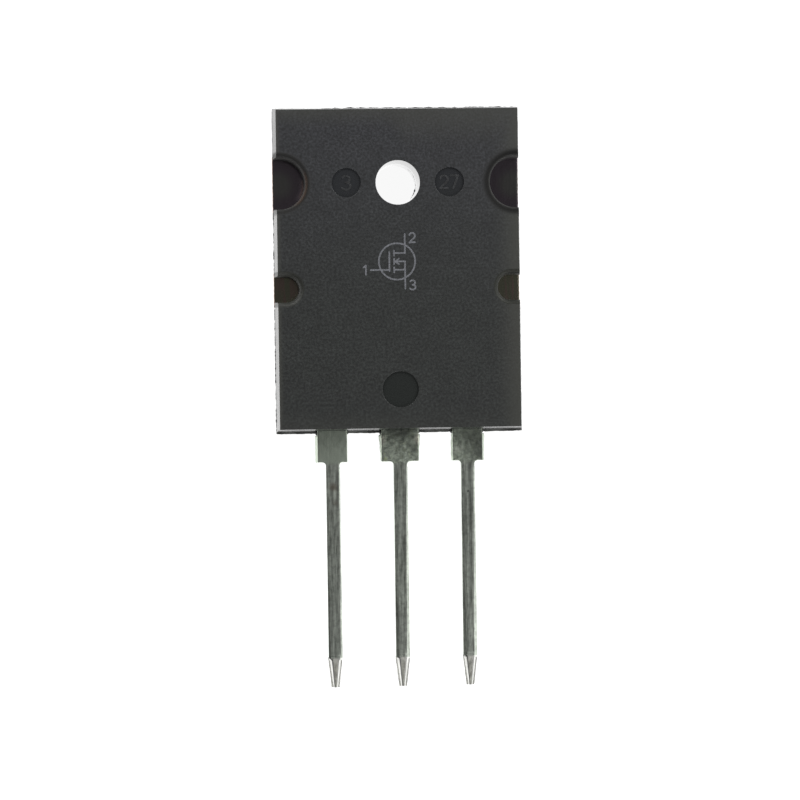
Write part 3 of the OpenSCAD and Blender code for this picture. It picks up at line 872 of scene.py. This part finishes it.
def plate_material(look):
    """The copper stamping: thin bright plating, tarnished at the bottom of the notches and rubbed through to
    copper along the large notches' inner rims and the sheared ends."""
    material, net = new_material("heat_sink_copper")
    at = net.millimetres()
    x, y, z = net.parts(at)
    across = abs(x)
    streak = net.noise(at, (0.3, 3.0, 1.0), 3.0, 0.6)
    patch = net.noise(at, 0.9, 3.0, 0.6, shift=4.0)
    plating = net.mix(net.fade(streak, 0.3, 0.72), shade(look.plate_colour, 0.8), look.plate_colour)
    front = net.fade(z, PLATE_T - 0.03, PLATE_T - 0.01)
    notch_x = across - BIG_NOTCH[0]
    from_centre = (notch_x * notch_x + y * y) ** 0.5
    tarnish = net.mix(net.fade(from_centre, 0.5, 1.5), (0.56, 0.55, 0.53), (0.47, 0.40, 0.46))
    brown = net.fade(streak, 0.45, 0.6)
    small = net.fade(y, -6.0, -7.0)
    tarnish = net.mix(net.fade(x, -1.0, 1.0), tarnish, tarnish * 0.8)
    tarnish = net.mix(small, tarnish, net.mix(brown, (0.60, 0.60, 0.44), (0.70, 0.54, 0.46)))
    colour = net.mix(front, plating, tarnish)
    # Real wear: plating rubbed through to copper at the left large notch's inner rim.
    wear_and_highlight = net.fade(from_centre, BIG_NOTCH_R - 0.45, BIG_NOTCH_R) * net.fade(y, 0.7, 0.2)
    wear_and_highlight = wear_and_highlight * net.fade(y, -1.3, -0.8) * net.fade(x, 0.0, -1.0) * front * 0.5
    shear = net.noise(at, (0.3, 0.12, 1.5), 3.0, 0.6, shift=6.0)
    sheared = net.fade(across, 9.35, 9.5) * (1.0 - front) * (0.35 + shear * 0.7)
    bare = net.fade(patch, 0.62, 0.78) * 0.4 * (1.0 - front) + sheared + wear_and_highlight
    colour = net.mix(net.fade(bare, 0.1, 1.0), colour, look.copper_colour)
    back = net.fade(z, 0.06, 0.02)
    net.surface({
        "Base Color": colour,
        "Metallic": 1.0 - wear_and_highlight * 0.3,
        "Roughness": 0.16 + back * 0.22 + sheared * 0.4 + wear_and_highlight * 0.2 + (streak - 0.5) * 0.08,
        "Normal": net.relief(streak * 0.7 + patch * 0.3 + sheared * shear * 3.0, 0.004, edge=0.03),
    })
    return material


def mark_material(look):
    """Resin that a laser has bleached, in fine dots."""
    material, net = new_material("bleached_resin")
    at = net.millimetres()
    dots = net.noise(at, 0.09, 2.0, 0.6, shift=1.3)
    tint = look.mark_colour
    net.surface({
        "Base Color": net.mix(net.fade(dots, 0.35, 0.65), shade(tint, 0.55), shade(tint, 1.25)),
        "Roughness": 0.6 + (dots - 0.5) * 0.2,
        "Normal": net.relief(dots, 0.003),
    })
    return material


def dark_metal(name, colour, rough, size):
    """A plain metal with a fine grain, for what lies inside."""
    material, net = new_material(name)
    at = net.millimetres()
    grain = net.noise(at, size, 3.0, 0.6)
    net.surface({
        "Base Color": net.mix(net.fade(grain, 0.3, 0.7), shade(colour, 0.8), colour),
        "Metallic": 1.0,
        "Roughness": rough + (grain - 0.5) * 0.2,
        "Normal": net.relief(grain, 0.002),
    })
    return material


def die_material():
    """The chip: metal pads over silicon with a frame of bare passivation around them."""
    material, net = new_material("silicon_chip")
    low, high = box_mm("silicon_die")
    at = net.millimetres()
    x, y, z = net.parts(at)
    middle = (low + high) / 2
    half = (high - low) / 2
    pad = net.fade(z, high[2] - 0.03, high[2] - 0.01)
    for place, centre, reach in zip((x, y), middle, half):
        pad = pad * net.fade(abs(place - centre), reach - 0.35, reach - 0.4)
    cells = net.noise(at, (0.08, 4.0, 1.0), 1.0, 0.4)
    metal = net.mix(cells, (0.70, 0.70, 0.72), (0.82, 0.82, 0.84))
    net.surface({
        "Base Color": net.mix(pad, (0.10, 0.13, 0.16), metal),
        "Metallic": pad,
        "Roughness": 0.16 + pad * 0.2,
        "Normal": net.relief(cells, 0.001),
    })
    return material


class TRANSISTOR_OT_moulding(bpy.types.Operator):
    """Finish the moulded body"""

    bl_idname = "transistor.moulding"
    bl_label = "Finish Moulding"

    def execute(self, context):
        look = context.scene.transistor
        paint(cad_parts["moulded_body"], moulding_material(look))
        return {"FINISHED"}


class TRANSISTOR_OT_metal(bpy.types.Operator):
    """Finish the heat sink, the bare leads and the chip with its wires"""

    bl_idname = "transistor.metal"
    bl_label = "Finish Metal"

    def execute(self, context):
        look = context.scene.transistor
        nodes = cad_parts
        paint(nodes["heat_sink"], plate_material(look))
        copper = dark_metal("lead_copper", look.plate_colour, 0.3, 0.2)
        wire = dark_metal("drawn_aluminium", (0.85, 0.86, 0.88), 0.25, 0.1)
        paint(nodes["gate_lead"], copper)
        paint(nodes["source_lead"], copper)
        paint(nodes["die_solder"], dark_metal("soft_solder", (0.55, 0.56, 0.58), 0.4, 0.3))
        paint(nodes["silicon_die"], die_material())
        for name, node in nodes.items():
            if "wire" in name:
                paint(node, wire)
        cuts = [cut_end(turn, low, high, 50 + i) for turn in (1, -1) for i, (low, high) in enumerate(EARS)]
        build_piece("cut_ends", cuts, nodes["heat_sink"].data.materials[0])
        return {"FINISHED"}


class TRANSISTOR_OT_plating(bpy.types.Operator):
    """Add the tin plating to the three leads"""

    bl_idname = "transistor.plating"
    bl_label = "Plate Leads"

    def execute(self, context):
        look = context.scene.transistor
        coat = look.plating_thickness / MM
        for name, lead in LEADS.items():
            material = plating_material(name + "_tin", look, lead)
            skin = plated_lead(lead, coat)
            lips = [tip_lip(coat, lead["x"], turn, lead["seed"]) for turn in (1.0, -1.0)]
            build_piece(name, [skin, *lips], material)
        return {"FINISHED"}


class TRANSISTOR_OT_flash(bpy.types.Operator):
    """Add the thin resin squeezed out of the mould"""

    bl_idname = "transistor.flash"
    bl_label = "Add Mould Flash"

    def execute(self, context):
        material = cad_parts["moulded_body"].data.materials[0]
        build_piece("mould_flash", flash_shells(), material)
        return {"FINISHED"}


class TRANSISTOR_OT_marks(bpy.types.Operator):
    """Add the circuit symbol with the leads' numbers, and the numbers cast into the pin marks"""

    bl_idname = "transistor.marks"
    bl_label = "Add Marks"

    def execute(self, context):
        look = context.scene.transistor
        middle = (-0.15, -6.3)
        size = 1.45
        lines = symbol_lines(middle, size)
        numbers = (("1", (-1.75, -0.46)), ("2", (0.85, 1.3)), ("3", (0.85, -1.3)))
        for word, place in numbers:
            lines += digit_lines(word, np.array(middle) + np.array(place) * size, 0.75)
        build_piece("laser_marks", bars(lines, 0.13, FRONT_Z, 0.004), mark_material(look))
        cast = digit_lines("3", (-UPPER_MARK_X, 0.0), 1.1) + digit_lines("27", (UPPER_MARK_X, 0.0), 1.0)
        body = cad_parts["moulded_body"].data.materials[0]
        build_piece("cast_numbers", bars(cast, 0.17, FRONT_Z - MARK_DEPTH, 0.022), body)
        return {"FINISHED"}


class TRANSISTOR_OT_stage(bpy.types.Operator):
    """Add the floor, the lamps, the background and the camera"""

    bl_idname = "transistor.stage"
    bl_label = "Add Stage"

    def execute(self, context):
        scene = context.scene
        scene.view_settings.view_transform = "Standard"
        add_floor()
        add_world(scene)
        add_lamps()
        add_camera(scene)
        return {"FINISHED"}


def ray_kinds(net):
    """Three values that are 1 for one kind of ray each: from the camera, glossy, and through glass."""
    kinds = ("Is Camera Ray", "Is Glossy Ray", "Is Transmission Ray")
    return [net.node("ShaderNodeLightPath", output=kind) for kind in kinds]


def add_floor():
    """A wide white floor just under the part, clear when it is seen from below."""
    half = 1.5
    z = -0.00002
    data = bpy.data.meshes.new("studio_floor")
    corners = [(-half, -half, z), (half, -half, z), (half, half, z), (-half, half, z)]
    data.from_pydata(corners, [], [(0, 1, 2, 3)])
    floor = bpy.data.objects.new("studio_floor", data)
    bpy.context.scene.collection.objects.link(floor)
    material, net = new_material("white_floor")
    camera, glossy, through = ray_kinds(net)
    glow = camera * 0.92 + (glossy + through)
    matt = net.node("ShaderNodeBsdfDiffuse", inputs={"Color": (0.42, 0.42, 0.42, 1.0)})
    light = net.node("ShaderNodeEmission", inputs={"Color": (1.0, 1.0, 1.0, 1.0), "Strength": glow})
    both = net.node("ShaderNodeAddShader", inputs={0: matt, 1: light})
    behind = net.node("ShaderNodeNewGeometry", output="Backfacing")
    clear = net.node("ShaderNodeBsdfTransparent")
    shown = net.node("ShaderNodeMixShader", inputs={0: behind, 1: both, 2: clear})
    net.node("ShaderNodeOutputMaterial", inputs={"Surface": shown})
    paint(floor, material)


def add_world(scene):
    """White to the camera. Glossy surfaces see white at the horizon and a dark ceiling, whose middle leans
    to the left."""
    ceiling_middle = (-0.6, -0.1, 0.79)
    world = bpy.data.worlds.new("studio")
    scene.world = world
    net = Net(world)
    camera, glossy, through = ray_kinds(net)
    toward = net.node("ShaderNodeTexCoord", output="Generated")
    inputs = {0: toward, 1: ceiling_middle}
    overhead = net.node("ShaderNodeVectorMath", {"operation": "DOT_PRODUCT"}, inputs, output="Value")
    ceiling = 1.0 - net.fade(overhead, 0.0, 0.75) * 0.96
    height = net.parts(toward)[2]
    around = 0.2 + (1.0 - height * height) * 0.45
    direct = camera + through
    strength = direct + (1.0 - direct) * (glossy * ceiling + (1.0 - glossy) * around)
    sky = net.node("ShaderNodeBackground", inputs={"Color": (1.0, 1.0, 1.0, 1.0), "Strength": strength})
    net.node("ShaderNodeOutputWorld", inputs={"Surface": sky})


def add_lamps():
    """Two wide soft lamps beyond the hole end and one from the right."""
    lamps = (
        ("soft_lamp_back_left", (-0.16, 0.17, 0.14), 0.16, 0.36),
        ("soft_lamp_back_right", (0.17, 0.15, 0.14), 0.16, 0.36),
        ("soft_lamp_front", (0.14, -0.24, 0.14), 0.2, 0.3),
    )
    for name, place, width, power in lamps:
        lamp = bpy.data.lights.new(name, "AREA")
        lamp.size = width
        lamp.energy = power
        holder = bpy.data.objects.new(name, lamp)
        bpy.context.scene.collection.objects.link(holder)
        holder.location = place
        holder.rotation_euler = (-holder.location).to_track_quat("-Z", "Y").to_euler()


def add_camera(scene):
    """The camera at the photograph's viewing angle. Its turn is a rotation vector."""
    place = np.array((-12.63, -13.22, 209.86)) * MM
    turn = np.array((0.0197, 0.0614, 0.0145))
    focal_px = 2571.9
    image_px = 800
    camera = bpy.data.cameras.new("camera")
    camera.sensor_width = 36.0
    camera.lens = camera.sensor_width * focal_px / image_px
    camera.clip_start = 0.005
    camera.clip_end = 20.0
    holder = bpy.data.objects.new("camera", camera)
    scene.collection.objects.link(holder)
    angle = float(np.linalg.norm(turn))
    seen = Matrix.Rotation(angle, 4, turn / angle)
    holder.matrix_world = Matrix.Translation(place) @ seen.transposed()
    scene.camera = holder


class TRANSISTOR_PT_panel(bpy.types.Panel):
    """Lists the settings and the steps"""

    bl_label = "Power Transistor"
    bl_idname = "TRANSISTOR_PT_panel"
    bl_space_type = "VIEW_3D"
    bl_region_type = "UI"
    bl_category = "Transistor"

    def draw(self, context):
        look = context.scene.transistor
        for name in look.__annotations__:
            self.layout.prop(look, name)
        for step in STEPS:
            self.layout.operator(step.bl_idname)


STEPS = (
    TRANSISTOR_OT_moulding,
    TRANSISTOR_OT_metal,
    TRANSISTOR_OT_plating,
    TRANSISTOR_OT_flash,
    TRANSISTOR_OT_marks,
    TRANSISTOR_OT_stage,
)
CLASSES = (TransistorSettings, *STEPS, TRANSISTOR_PT_panel)


def register():
    for made in CLASSES:
        bpy.utils.register_class(made)
    bpy.types.Scene.transistor = bpy.props.PointerProperty(type=TransistorSettings)


def unregister():
    del bpy.types.Scene.transistor
    for made in reversed(CLASSES):
        bpy.utils.unregister_class(made)


def main():
    register()
    for step in STEPS:
        group, name = step.bl_idname.split(".")
        getattr(getattr(bpy.ops, group), name)()


if __name__ == "__main__":
    main()
